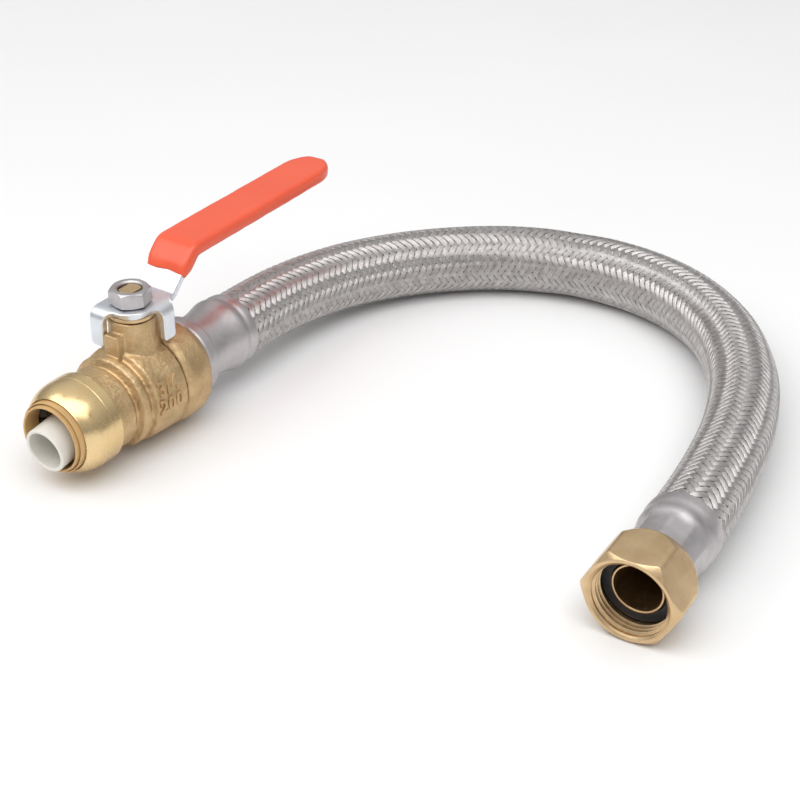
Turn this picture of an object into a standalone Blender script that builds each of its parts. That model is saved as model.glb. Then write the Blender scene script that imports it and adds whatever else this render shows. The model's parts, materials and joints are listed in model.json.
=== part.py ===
"""A braided water supply line: a push-to-connect ball valve, a stainless braided hose and a swivel nut.

Frame: +Y runs along the valve from its mouth towards the hose, +Z is up along the valve stem, and +X is
to the right of the valve. The origin is on the surface it lies on, under the middle of the valve.
"""

import math

import bmesh
import bpy
from mathutils import Matrix, Vector

MM = 0.001
GAP = 0.3  # clearance that neighbouring pieces keep, in millimetres like every size below

# Valve: stations are measured along its axis from the collar's rear edge
AXIS_Z = 19.9
STEM_Y = 27.9
MOUTH_Y = -18.3
COLLAR_R = 17.2
BARREL_R = 19.9
BODY_END_Y = 34.2
SPIGOT_END_Y = 38.5  # the body's screwed spigot inside the end cap
CAP_END_Y = 51.0
BALL_R = 13.8
CAVITY_R = 14.2
BORE_R = 9.3
PIPE_R = 11.45  # socket for a 7/8 in (22.2 mm) pipe
CASE_R = 15.9  # the body's nose inside the collar

# Stem and its seals, by height above the resting surface
BOSS_R = 8.9
BOSS_TOP = 49.1
STEM_R = 4.3
COLLAR_SEAT_R = 5.6  # bore for the stem's thrust collar
PACKING_Z = 41.3
STEM_FLAT = 2.9
STEM_TOP = 59.3
PACKING_R = 7.1

# Lever
PLATE = 2.5
PLATE_TOP = 53.8
EAR_OUT = 11.9  # outer face of each down-turned ear from the stem
EAR_BEND = 2.8
EAR_NEAR = 3.45  # the ear's near edge, which meets the stop post
EAR_FAR = 9.4
EAR_BOTTOM = 39.7
ARCH = 9.8  # the plate's front edge between the ears, from the stem
FOLD_Y = 13.8  # where the leg starts to rise, from the stem
LEG_ANGLE = math.radians(45)
KNEE_Z = 65.7  # height of the arm's middle at the knee
ARM_RISE = math.radians(1.1)  # the grip still rises a little towards its tip
GRIP_TIP_Y = 113.8
GRIP_W = 18.6
GRIP_T = 5.7
ARM_W = 16.4
DIP_Z = 58.6  # where the vinyl starts on the leg
POST_W = 6.2
POST_OUT = 12.2
POST_TOP = 45.2
NUT_AF = 13.6
NUT_H = 5.8

# Hose
HOSE_R = 13.2
BRAID_IN_R = 11.7
LINER_OUT_R = 11.4
LINER_IN_R = 8.8
HOSE_START_Y = 81.5
HOSE_STEP = 19.0  # spacing of the hose's stations along its run

# Route of the hose's centre line, as X, Y (valve stations) and height
ROUTE = [
    (0.0, 81.5, 19.9),
    (0.7, 117.9, 18.4),
    (8.3, 153.4, 15.6),
    (26.9, 184.2, 14.0),
    (54.9, 206.8, 13.6),
    (89.3, 217.2, 13.6),
    (124.9, 212.7, 13.6),
    (155.4, 193.7, 13.6),
    (177.6, 164.3, 14.0),
    (191.4, 131.3, 15.0),
    (199.6, 97.1, 16.3),
    (204.8, 59.3, 17.3),
]

# Nut end: stations are measured from the nut's face back along the hose
NUT_FACE_AF = 30.4
NUT_LEN = 18.8
FERRULE_LEN = 43.8
GASKET_FACE = 8.2
THREAD_PITCH = 1.814
THREAD_TURNS = 4
NUT_DIP = math.radians(2.0)
NUT_YAW = math.radians(3.4)

ORIGIN_Y = 61.2  # the origin's station, about halfway between the mouth and the lever's tip

FINISHES = {
    "collar_brass": ((0.80, 0.62, 0.33, 1), 0.18, 1.0),
    "cast_brass": ((0.62, 0.46, 0.26, 1), 0.42, 1.0),
    "machined_brass": ((0.70, 0.53, 0.29, 1), 0.30, 1.0),
    "chrome": ((0.80, 0.80, 0.81, 1), 0.08, 1.0),
    "stainless": ((0.60, 0.58, 0.57, 1), 0.28, 1.0),
    "braid": ((0.62, 0.60, 0.58, 1), 0.35, 1.0),
    "zinc": ((0.78, 0.80, 0.83, 1), 0.32, 1.0),
    "vinyl": ((0.90, 0.16, 0.07, 1), 0.30, 0.0),
    "tan_plastic": ((0.62, 0.40, 0.19, 1), 0.45, 0.0),
    "white_plastic": ((0.75, 0.74, 0.70, 1), 0.40, 0.0),
    "ptfe": ((0.86, 0.86, 0.84, 1), 0.50, 0.0),
    "rubber": ((0.03, 0.03, 0.03, 1), 0.65, 0.0),
}


def clear_scene():
    for obj in list(bpy.data.objects):
        bpy.data.objects.remove(obj, do_unlink=True)


def new_collection(name):
    collection = bpy.data.collections.new(name)
    bpy.context.scene.collection.children.link(collection)
    return collection


def material(name):
    found = bpy.data.materials.get(name)
    if found:
        return found
    colour, roughness, metallic = FINISHES[name]
    made = bpy.data.materials.new(name)
    made.use_nodes = True
    shader = made.node_tree.nodes["Principled BSDF"]
    shader.inputs["Base Color"].default_value = colour
    shader.inputs["Roughness"].default_value = roughness
    shader.inputs["Metallic"].default_value = metallic
    made.diffuse_color = colour
    return made


clear_scene()
PARTS = new_collection("braided_supply_line")
CUTTERS = new_collection("cutters")


def add_object(name, data, finish, matrix=None):
    """An object of the part, or a cutter where there is no finish."""
    obj = bpy.data.objects.new(name, data)
    if finish is None:
        CUTTERS.objects.link(obj)
        obj.hide_render = True
        obj.display_type = "WIRE"
    else:
        PARTS.objects.link(obj)
        data.materials.append(material(finish))
    if matrix is not None:
        obj.matrix_world = matrix
    return obj


def evaluated_mesh(obj):
    """The object's mesh with its modifiers applied, in its own coordinates."""
    bpy.context.view_layer.update()
    graph = bpy.context.evaluated_depsgraph_get()
    return bpy.data.meshes.new_from_object(obj.evaluated_get(graph))


def settle(obj):
    """Turns a curve, or a mesh with modifiers, into a plain closed mesh object of the same name and place."""
    name = obj.name
    matrix = obj.matrix_world.copy()
    finish = obj.data.materials[0].name if obj.data.materials else None
    mesh = evaluated_mesh(obj)
    bpy.data.objects.remove(obj, do_unlink=True)
    work = bmesh.new()
    work.from_mesh(mesh)
    bmesh.ops.remove_doubles(work, verts=work.verts, dist=1e-6)
    bmesh.ops.recalc_face_normals(work, faces=work.faces)
    work.to_mesh(mesh)
    work.free()
    mesh.materials.clear()
    return add_object(name, mesh, finish, matrix)


def smooth(obj, angle=35):
    obj.data.shade_smooth()
    obj.data.set_sharp_from_angle(angle=math.radians(angle))


# Frames: turned pieces have their axis along local Z


def valve_frame():
    """Local Z along the valve's axis, from the collar's rear edge towards the hose."""
    place = Matrix.Translation(Vector((0, -ORIGIN_Y, AXIS_Z)) * MM)
    return place @ Matrix.Rotation(math.radians(-90), 4, "X")


def stem_frame():
    return Matrix.Translation(Vector((0, STEM_Y - ORIGIN_Y, 0)) * MM)


def nut_back():
    """The direction from the swivel nut's face back to the hose."""
    level = Vector((-math.sin(NUT_YAW), math.cos(NUT_YAW), 0))
    return level * math.cos(NUT_DIP) + Vector((0, 0, math.sin(NUT_DIP)))


def hose_points():
    """Points at equal steps along a smooth curve through the route."""
    knots = [Vector((x, y - ORIGIN_Y, z)) for x, y, z in ROUTE]
    first = Vector((0, 1, 0)) * (knots[1] - knots[0]).length
    last = nut_back() * (knots[-1] - knots[-2]).length
    padded = [knots[1] - first * 2] + knots + [knots[-2] - last * 2]
    dense = []
    for before, start, end, after in zip(padded, padded[1:], padded[2:], padded[3:]):
        for step in range(40):
            t = step / 40
            pull = (end - before) * (t - 2 * t**2 + t**3) + (after - start) * (t**3 - t**2)
            hold = start * (1 - 3 * t**2 + 2 * t**3) + end * (3 * t**2 - 2 * t**3)
            dense.append(hold + pull * 0.5)
    dense.append(knots[-1])
    lengths = [0.0]
    for before, after in zip(dense, dense[1:]):
        lengths.append(lengths[-1] + (after - before).length)
    count = round(lengths[-1] / HOSE_STEP)
    points = []
    for index in range(count + 1):
        target = lengths[-1] * index / count
        at = min(range(len(dense)), key=lambda i: abs(lengths[i] - target))
        points.append(dense[at])
    return points


def nut_frame(route):
    """Local Z from the swivel nut's face back along its axis to the hose's end."""
    back = nut_back()
    side = Vector((0, 0, 1)).cross(back).normalized()
    up = back.cross(side)
    face = route[-1] - back * FERRULE_LEN
    frame = Matrix((side, up, back)).transposed().to_4x4()
    return Matrix.Translation(face * MM) @ frame


# Shape makers


def turned(name, outline, finish, matrix, steps=28):
    """A ring or solid of revolution. The outline is (radius, station) pairs going round the section so that
    the outer side runs from the high station to the low one. Radius 0 closes on the axis."""
    mesh = bpy.data.meshes.new(name)
    points = [(r * MM, 0, z * MM) for r, z in outline]
    loop = outline[0][0] > 0 or outline[-1][0] > 0
    edges = [(i, i + 1) for i in range(len(points) - 1)]
    if loop:
        edges.append((len(points) - 1, 0))
    mesh.from_pydata(points, edges, [])
    obj = add_object(name, mesh, finish, matrix)
    screw = obj.modifiers.new("Screw", "SCREW")
    screw.axis = "Z"
    screw.steps = steps
    screw.render_steps = steps
    screw.use_merge_vertices = True
    screw.merge_threshold = 1e-6
    screw.use_smooth_shade = True
    obj = settle(obj)
    smooth(obj)
    return obj


def box(name, low, high, finish, matrix):
    work = bmesh.new()
    bmesh.ops.create_cube(work, size=1)
    size = [(b - a) * MM for a, b in zip(low, high)]
    centre = [(a + b) / 2 * MM for a, b in zip(low, high)]
    bmesh.ops.scale(work, vec=size, verts=work.verts)
    bmesh.ops.translate(work, vec=centre, verts=work.verts)
    mesh = bpy.data.meshes.new(name)
    work.to_mesh(mesh)
    work.free()
    return add_object(name, mesh, finish, matrix)


def cylinder(name, radius, low, high, finish, matrix, sides=32):
    work = bmesh.new()
    bmesh.ops.create_cone(
        work,
        cap_ends=True,
        segments=sides,
        radius1=radius * MM,
        radius2=radius * MM,
        depth=(high - low) * MM,
    )
    bmesh.ops.translate(work, vec=(0, 0, (low + high) / 2 * MM), verts=work.verts)
    mesh = bpy.data.meshes.new(name)
    work.to_mesh(mesh)
    work.free()
    return add_object(name, mesh, finish, matrix)


def outline_plate(name, outline, thickness, finish, matrix):
    """A flat outline in local XY, thickened equally to both sides of it."""
    curve = bpy.data.curves.new(name, "CURVE")
    curve.dimensions = "2D"
    curve.fill_mode = "BOTH"
    curve.extrude = thickness / 2 * MM
    spline = curve.splines.new("POLY")
    spline.points.add(len(outline) - 1)
    for point, (x, y) in zip(spline.points, outline):
        point.co = (x * MM, y * MM, 0, 1)
    spline.use_cyclic_u = True
    return settle(add_object(name, curve, finish, matrix))


def tube(name, points, radius, finish):
    """A round bar along the points, with flat ends."""
    curve = bpy.data.curves.new(name, "CURVE")
    curve.dimensions = "3D"
    curve.bevel_depth = radius * MM
    curve.bevel_resolution = 4
    curve.use_fill_caps = True
    spline = curve.splines.new("POLY")
    spline.points.add(len(points) - 1)
    for point, place in zip(spline.points, points):
        point.co = (*(place * MM), 1)
    return settle(add_object(name, curve, finish))


def combine(obj, other, operation):
    """Cuts, joins or trims the object with another, which is kept only as a cutter in a cut."""
    modifier = obj.modifiers.new(operation.title(), "BOOLEAN")
    modifier.operation = operation
    modifier.object = other
    obj = settle(obj)
    bpy.data.objects.remove(other, do_unlink=True)
    return obj


def rounded(corners, steps=4):
    """A closed outline with each (x, y, radius) corner rounded."""
    found = []
    for index, (x, y, radius) in enumerate(corners):
        corner = Vector((x, y))
        if not radius:
            found.append((x, y))
            continue
        before = (Vector(corners[index - 1][:2]) - corner).normalized()
        after = (Vector(corners[(index + 1) % len(corners)][:2]) - corner).normalized()
        half = before.angle(after) / 2
        centre = corner + (before + after).normalized() * radius / math.sin(half)
        start = corner + before * radius / math.tan(half) - centre
        end = corner + after * radius / math.tan(half) - centre
        sweep = start.angle_signed(end)
        for step in range(steps + 1):
            angle = -sweep * step / steps
            found.append(tuple(centre + Matrix.Rotation(angle, 2) @ start))
    return found


def arc(centre, radius, start, end, count):
    """Points on an arc, angles in degrees, both ends included."""
    found = []
    for index in range(count + 1):
        angle = math.radians(start + (end - start) * index / count)
        found.append((centre[0] + radius * math.cos(angle), centre[1] + radius * math.sin(angle)))
    return found


def hexagon(name, across_flats, low, high, chamfer, finish, matrix, turn=0.0):
    """A hexagonal prism along local Z with both ends chamfered round."""
    corner = across_flats / 2 / math.cos(math.radians(30))
    prism = cylinder(name, corner, low, high, finish, matrix @ Matrix.Rotation(turn, 4, "Z"), sides=6)
    edge = across_flats / 2 + 0.05
    round_off = turned(
        name + "_chamfer",
        [(0, high), (edge, high), (corner + 0.6, high - chamfer), (corner + 0.6, low + chamfer), (edge, low), (0, low)],
        None,
        matrix,
        steps=24,
    )
    return combine(prism, round_off, "INTERSECT")


# Push-to-connect mouth


def make_collar(frame):
    """A short cylinder that domes in to the lip round the release ring."""
    dome_start = -3.0
    dome_end = -14.6
    dome_steps = 8
    outline = [(16.25, 1.0), (COLLAR_R, 1.0)]
    for index in range(dome_steps + 1):
        t = index / dome_steps
        outline.append((COLLAR_R - 3.0 * t**3.2, dome_start + (dome_end - dome_start) * t))
    outline += [
        (13.95, -14.8),
        (13.75, -14.5),
        (13.75, -13.6),
        (14.6, -13.3),
        (14.9, -12.4),
        (15.9, -10.0),
        (16.25, -6.0),
    ]
    turned("collar", outline, "collar_brass", frame, steps=32)


def make_release_ring(frame):
    outline = [
        (12.4, -12.0),
        (14.2, -12.2),
        (14.2, -13.0),
        (13.4, -13.5),
        (13.4, MOUTH_Y + 0.5),
        (12.9, MOUTH_Y),
        (12.1, MOUTH_Y),
        (11.7, MOUTH_Y + 0.5),
        (11.7, -12.4),
    ]
    turned("release_ring", outline, "tan_plastic", frame)


def make_grab_ring(frame):
    outline = [(15.6, -9.2), (15.6, -9.7), (13.2, -9.7), (11.0, -7.9), (11.2, -7.5), (13.4, -9.2)]
    ring = turned("grab_ring", outline, "stainless", frame)
    teeth = 12
    for index in range(teeth):
        turn = Matrix.Rotation(2 * math.pi * index / teeth, 4, "Z")
        slot = box("grab_slot", (9.0, -0.5, -11.0), (13.0, 0.5, -6.0), None, frame @ turn)
        ring = combine(ring, slot, "DIFFERENCE")
    smooth(ring)


def make_socket_seals(frame):
    spacer = [(15.6, -4.4), (15.6, -8.9), (14.4, -8.9), (14.4, -6.6), (11.5, -6.6), (11.5, -4.4)]
    turned("o_ring_protector", spacer, "tan_plastic", frame)
    section = arc((12.85, -2.2), 1.5, 90, -270, 10)[:-1]
    turned("o_ring", section, "rubber", frame)


def make_liner(frame):
    front = MOUTH_Y + 0.6
    outline = [
        (11.0, 8.7),
        (11.0, 7.2),
        (8.5, 7.2),
        (8.5, front + 0.4),
        (8.1, front),
        (7.3, front),
        (7.1, front + 0.4),
        (7.1, 8.7),
    ]
    turned("tube_liner", outline, "white_plastic", frame)


# Ball valve


def make_body(frame, stem):
    outline = [
        (16.2, SPIGOT_END_Y),
        (16.2, BODY_END_Y),
        (18.6, BODY_END_Y),
        (19.0, BODY_END_Y - 0.5),
        (18.9, 29.0),
        (18.4, 20.5),
        (17.9, 17.6),
        (17.2, 16.6),
        (16.7, 12.6),
        (15.7, 11.0),
        (15.4, 9.8),
        (16.2, 9.2),
        (16.2, 1.3),
        (CASE_R, 1.0),
        (CASE_R, -4.0),
        (14.6, -4.0),
        (14.6, 0.2),
        (PIPE_R, 0.2),
        (PIPE_R, 9.0),
        (BORE_R, 9.0),
        (BORE_R, 14.3),
        (CAVITY_R, 14.3),
        (CAVITY_R, SPIGOT_END_Y),
    ]
    body = turned("valve_body", outline, "cast_brass", frame, steps=32)
    # The boss is sunk into the barrel's wall, and behind the seam it overhangs the end cap
    boss = cylinder("boss", BOSS_R, AXIS_Z + 14.6, BOSS_TOP, None, stem)
    overhang = box("boss_undercut", (-20, BODY_END_Y - STEM_Y - 0.05, 30), (20, 20, 40.1), None, stem)
    boss = combine(boss, overhang, "DIFFERENCE")
    body = combine(body, boss, "UNION")
    post = box(
        "stop_post",
        (-POST_W / 2, -POST_OUT, AXIS_Z + 14.9),
        (POST_W / 2, -BOSS_R + 2.0, POST_TOP),
        None,
        stem,
    )
    body = combine(body, post, "UNION")
    shaft_way = turned(
        "shaft_way",
        [
            (0, BOSS_TOP + 2),
            (PACKING_R, BOSS_TOP + 2),
            (PACKING_R, PACKING_Z),
            (STEM_R + GAP, PACKING_Z),
            (STEM_R + GAP, 37.2),
            (COLLAR_SEAT_R, 37.2),
            (COLLAR_SEAT_R, AXIS_Z + 11.0),
            (0, AXIS_Z + 11.0),
        ],
        None,
        stem,
    )
    body = combine(body, shaft_way, "DIFFERENCE")
    smooth(body, 30)


def make_end_cap(frame):
    outline = [
        (15.6, CAP_END_Y),
        (BARREL_R - 0.5, CAP_END_Y - 4.3),
        (BARREL_R, CAP_END_Y - 5.4),
        (BARREL_R - 0.1, 36.6),
        (19.1, 35.3),
        (18.4, BODY_END_Y + GAP),
        (16.5, BODY_END_Y + GAP),
        (16.5, SPIGOT_END_Y + GAP),
        (13.4, SPIGOT_END_Y + GAP),
        (13.4, 41.5),
        (BORE_R, 41.5),
        (BORE_R, 45.6),
        (10.6, 45.6),
        (10.6, CAP_END_Y),
    ]
    cap = turned("end_cap", outline, "cast_brass", frame, steps=32)
    smooth(cap, 30)


def make_ball(frame, stem):
    """A ball with its bore along the valve and a slot across its top for the stem's tang."""
    rise = math.degrees(math.acos(BORE_R / BALL_R))
    outer = arc((0, 0), BALL_R, rise, -rise, 10)
    centre = frame @ Matrix.Translation((0, 0, STEM_Y * MM))
    ball = turned("ball", outer, "chrome", centre, steps=32)
    slot = box("ball_slot", (-16, -3.1, AXIS_Z + 11.2), (16, 3.1, AXIS_Z + 16), None, stem)
    ball = combine(ball, slot, "DIFFERENCE")
    smooth(ball)


def make_seats(frame):
    """Two rings whose inner faces follow the ball at a small clearance."""
    reach = BALL_R + 0.25
    radii = [9.6, 10.6, 11.6, 12.6]
    faces = [(r, math.sqrt(reach**2 - r**2)) for r in radii]
    back = 13.3
    for name, side, outer in (("seat_front", -1, 13.9), ("seat_rear", 1, 13.1)):
        section = [(outer, STEM_Y + side * back), (outer, STEM_Y + side * (faces[-1][1] - 0.1))]
        section += [(r, STEM_Y + side * depth) for r, depth in reversed(faces)]
        section += [(BORE_R + 0.1, STEM_Y + side * (faces[0][1] + 0.5)), (BORE_R + 0.1, STEM_Y + side * back)]
        turned(name, section, "ptfe", frame)


def make_stem(stem):
    shank = turned(
        "stem",
        [
            (0, 50.6),
            (STEM_R, 50.6),
            (STEM_R, 36.0),
            (COLLAR_SEAT_R - GAP, 36.0),
            (COLLAR_SEAT_R - GAP, 34.6),
            (0, 34.6),
        ],
        "machined_brass",
        stem,
        steps=24,
    )
    tip = cylinder("stem_tip", 4.1, 48.0, STEM_TOP, None, stem, sides=24)
    for side in (-1, 1):
        low, high = sorted((side * STEM_FLAT, side * 6))
        flat = box("stem_flat", (low, -6, 46), (high, 6, STEM_TOP + 2), None, stem)
        tip = combine(tip, flat, "DIFFERENCE")
    shank = combine(shank, tip, "UNION")
    tang = box("stem_tang", (-4.4, -2.8, AXIS_Z + 11.6), (4.4, 2.8, AXIS_Z + 15.2), None, stem)
    shank = combine(shank, tang, "UNION")
    smooth(shank)


def make_stem_seals(stem):
    inner = STEM_R + GAP
    outer = PACKING_R - GAP
    rim = COLLAR_SEAT_R - GAP
    turned("thrust_washer", [(rim, 36.95), (rim, 36.3), (inner, 36.3), (inner, 36.95)], "ptfe", stem)
    turned("stem_packing", [(outer, 44.4), (outer, 41.6), (inner, 41.6), (inner, 44.4)], "ptfe", stem)
    gland = [
        (8.0, 50.8),
        (8.3, 50.5),
        (8.3, BOSS_TOP + GAP),
        (outer, BOSS_TOP + GAP),
        (outer, 44.7),
        (inner, 44.7),
        (inner, 50.8),
    ]
    turned("gland", gland, "machined_brass", stem)


# Lever


def arm_line(thickness):
    """Side outline of the lever: flat at the hub, up the leg, then nearly flat along the grip. Y runs from
    the stem to the tip and Z is height. The thickness is centred on the plate's own mid line."""
    hub_z = PLATE_TOP - PLATE / 2
    knee_y = FOLD_Y + (KNEE_Z - hub_z) / math.tan(LEG_ANGLE)
    end_z = KNEE_Z + (130 - knee_y) * math.tan(ARM_RISE)
    middle = (LEG_ANGLE + ARM_RISE) / 2
    sides = []
    for half in (thickness / 2, -thickness / 2):
        fold = FOLD_Y - half * math.tan(LEG_ANGLE / 2)
        corner = half / math.cos((LEG_ANGLE - ARM_RISE) / 2)
        knee = (knee_y - corner * math.sin(middle), KNEE_Z + corner * math.cos(middle))
        sides.append([(-20, hub_z + half), (fold, hub_z + half), knee, (130, end_z + half / math.cos(ARM_RISE))])
    return sides[0] + sides[1][::-1]


def side_frame(stem):
    """Local X along the lever, local Y up, local Z across."""
    across = Matrix(((0, 0, 1, 0), (1, 0, 0, 0), (0, 1, 0, 0), (0, 0, 0, 1)))
    return stem @ across


def arm_plan(width, tip, hub):
    """Plan outline of the arm with its round end, starting at the hub or running on past it."""
    half = width / 2
    right = [(half, tip - half - 14)] if hub else [(half, -30)]
    end = arc((0, tip - half), half, 0, 180, 12)
    left = [(-x, y) for x, y in reversed(right)]
    if hub:
        left.append((-half, 40))
    return right + end + left


def hub_plan():
    """Plan outline of the whole plate: the hub, its slanting front edge between the ears, and the arm."""
    edge = EAR_OUT - EAR_BEND
    slant = ARCH * math.sqrt(2) - edge
    half = ARM_W / 2
    left = -EAR_FAR - 0.1
    hub_left = [(-half, 12.6, 3), (left, 5.0, 5), (left, -edge, 1)]
    hub_front = [(slant, -edge, 2.0), (edge, -slant, 2.0), (edge, EAR_FAR - 0.6, 1.5), (half, 12.6, 3)]
    arm = [(half, 40, 0)] + [(x, y, 0) for x, y in arm_plan(ARM_W, GRIP_TIP_Y - 1.7, True)]
    return rounded(hub_left + hub_front + arm)


def make_lever(stem):
    plate = outline_plate("lever", arm_line(PLATE), 60, "zinc", side_frame(stem))
    plan = outline_plate("lever_plan", hub_plan(), 60, None, stem @ Matrix.Translation((0, 0, 0.055)))
    plate = combine(plate, plan, "INTERSECT")
    drop = EAR_OUT - EAR_BEND
    top = arc((drop, PLATE_TOP - EAR_BEND), EAR_BEND, 90, 0, 5)
    under = arc((drop, PLATE_TOP - EAR_BEND), EAR_BEND - PLATE, 0, 90, 2)
    root = drop - 3.5
    profile = [(root, PLATE_TOP - 0.03), *top[1:], (EAR_OUT, EAR_BOTTOM + 1.5), (EAR_OUT - 0.6, EAR_BOTTOM)]
    profile += [(EAR_OUT - PLATE, EAR_BOTTOM), *under[:-1], (root, PLATE_TOP - PLATE + 0.03)]
    width = EAR_FAR - EAR_NEAR
    middle = (EAR_FAR + EAR_NEAR) / 2
    upright = Matrix(((1, 0, 0, 0), (0, 0, -1, 0), (0, 1, 0, 0), (0, 0, 0, 1)))
    for name, turn, shift in (("ear_right", 0, middle), ("ear_front", -90, -middle)):
        place = stem @ Matrix.Rotation(math.radians(turn), 4, "Z") @ Matrix.Translation((0, shift * MM, 0))
        ear = outline_plate(name, profile, width, None, place @ upright)
        plate = combine(plate, ear, "UNION")
    hole = cylinder("lever_hole", 4.5, 40, 70, None, stem, sides=24)
    for side_x in (-1, 1):
        low, high = sorted((side_x * (STEM_FLAT + 0.3), side_x * 8))
        flat = box("lever_flat", (low, -8, 38), (high, 8, 72), None, stem)
        hole = combine(hole, flat, "DIFFERENCE")
    plate = combine(plate, hole, "DIFFERENCE")
    smooth(plate, 30)


def make_grip(stem):
    side = side_frame(stem)
    grip = outline_plate("lever_grip", arm_line(GRIP_T), 60, "vinyl", side)
    plan = outline_plate(
        "grip_plan", arm_plan(GRIP_W, GRIP_TIP_Y, False), 60, None, stem @ Matrix.Translation((0, 0, 0.055))
    )
    grip = combine(grip, plan, "INTERSECT")
    start = box("grip_start", (-20, -40, 30), (20, 80, DIP_Z), None, stem)
    grip = combine(grip, start, "DIFFERENCE")
    pocket = outline_plate("grip_pocket", arm_line(PLATE + 2 * GAP), 60, None, side)
    room = outline_plate(
        "pocket_plan",
        arm_plan(ARM_W + 2 * GAP, GRIP_TIP_Y - 1.7 + GAP, False),
        60,
        None,
        stem @ Matrix.Translation((0, 0, 0.055)),
    )
    pocket = combine(pocket, room, "INTERSECT")
    grip = combine(grip, pocket, "DIFFERENCE")
    smooth(grip, 30)


def make_lever_nut(stem):
    low = PLATE_TOP + GAP
    nut = hexagon("lever_nut", NUT_AF, low, low + NUT_H, 1.0, "stainless", stem, turn=math.radians(17))
    hole = cylinder("nut_hole", 4.45, low - 2, low + NUT_H + 2, None, stem, sides=24)
    nut = combine(nut, hole, "DIFFERENCE")
    smooth(nut, 25)


# Hose and its ends


def make_inlet(frame):
    nipple = [
        (9.5, HOSE_START_Y - 0.4),
        (9.5, CAP_END_Y + 6.9),
        (10.3, CAP_END_Y + 6.5),
        (10.3, 46.0),
        (7.9, 46.0),
        (7.9, HOSE_START_Y - 0.4),
    ]
    turned("inlet_nipple", nipple, "machined_brass", frame)
    sleeve = [
        (12.6, HOSE_START_Y),
        (HOSE_R + 0.1, HOSE_START_Y - 0.6),
        (HOSE_R + 0.5, 78.6),
        (HOSE_R + 0.1, 76.0),
        (12.3, 73.6),
        (12.3, 60.2),
        (12.7, 57.8),
        (14.9, 57.0),
        (14.9, CAP_END_Y + GAP),
        (10.6, CAP_END_Y + GAP),
        (10.6, 58.2),
        (9.8, 58.6),
        (9.8, HOSE_START_Y),
    ]
    turned("ferrule_valve_end", sleeve, "stainless", frame)


def hollow_tube(name, points, outer, inner, finish):
    body = tube(name, points, outer, finish)
    first = points[0] - (points[1] - points[0]).normalized() * 3
    last = points[-1] + (points[-1] - points[-2]).normalized() * 3
    core = tube(name + "_core", [first] + points[1:-1] + [last], inner, None)
    body = combine(body, core, "DIFFERENCE")
    smooth(body)


def make_hose(route, nut):
    """Both layers start and end a gap away from the ferrules' lips."""
    out = Vector((0, 1, 0))
    back = (nut.to_3x3() @ Vector((0, 0, 1))).normalized()
    start = route[0] + out * GAP
    end = route[-1] + back * GAP
    points = [start, start + out * 5] + route[1:-1] + [end + back * 5, end]
    hollow_tube("hose_braid", points, HOSE_R, BRAID_IN_R, "braid")
    hollow_tube("hose_liner", points, LINER_OUT_R, LINER_IN_R, "rubber")


def make_outlet(frame):
    lip = FERRULE_LEN
    sleeve = [
        (12.6, lip),
        (HOSE_R + 0.1, lip - 0.6),
        (HOSE_R + 0.3, lip - 3.0),
        (HOSE_R + 0.2, lip - 8.4),
        (12.4, lip - 10.6),
        (12.1, NUT_LEN + 0.6),
        (9.9, NUT_LEN + 0.6),
        (9.9, lip),
    ]
    turned("ferrule_nut_end", sleeve, "stainless", frame)
    tail = [
        (9.5, lip - 0.4),
        (9.5, 15.0),
        (11.9, 15.0),
        (11.9, GASKET_FACE + 3.1),
        (9.0, GASKET_FACE + 3.1),
        (9.0, GASKET_FACE - 1.0),
        (8.2, GASKET_FACE - 1.0),
        (8.2, lip - 0.4),
    ]
    turned("tailpiece", tail, "machined_brass", frame)
    gasket = [(11.9, GASKET_FACE + 2.8), (11.9, GASKET_FACE), (9.3, GASKET_FACE), (9.3, GASKET_FACE + 2.8)]
    turned("gasket", gasket, "rubber", frame)


def make_swivel_nut(frame):
    nut = hexagon("swivel_nut", NUT_FACE_AF, 0, NUT_LEN, 1.9, "machined_brass", frame, turn=math.radians(30))
    thread = [(0, NUT_LEN + 2), (10.6, NUT_LEN + 2), (10.6, 15.3), (13.2, 15.3), (13.2, 7.9)]
    for index in range(THREAD_TURNS):
        deep = 7.2 - index * THREAD_PITCH
        thread += [(12.2, deep), (13.15, deep - THREAD_PITCH / 2)]
    thread += [(13.3, 0.6), (13.9, -0.01), (13.9, -2), (0, -2)]
    bore = turned("nut_bore", thread, None, frame)
    nut = combine(nut, bore, "DIFFERENCE")
    smooth(nut, 25)


def main():
    valve = valve_frame()
    stem = stem_frame()
    route = hose_points()
    outlet = nut_frame(route)
    make_collar(valve)
    make_release_ring(valve)
    make_grab_ring(valve)
    make_socket_seals(valve)
    make_liner(valve)
    make_body(valve, stem)
    make_end_cap(valve)
    make_ball(valve, stem)
    make_seats(valve)
    make_stem(stem)
    make_stem_seals(stem)
    make_lever(stem)
    make_grip(stem)
    make_lever_nut(stem)
    make_inlet(valve)
    make_hose(route, outlet)
    make_outlet(outlet)
    make_swivel_nut(outlet)


main()
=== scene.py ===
"""Looks of a braided supply line: brass push-to-connect ball valve, stainless braided hose and swivel nut.

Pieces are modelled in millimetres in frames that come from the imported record, and are placed in metres as
the last step. Stations run along the valve's axis towards the hose, and start 1 mm inside the collar's
rear edge."""

import json
import math

import bmesh
import bpy
import numpy as np
from mathutils import Matrix, Vector, noise


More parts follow.
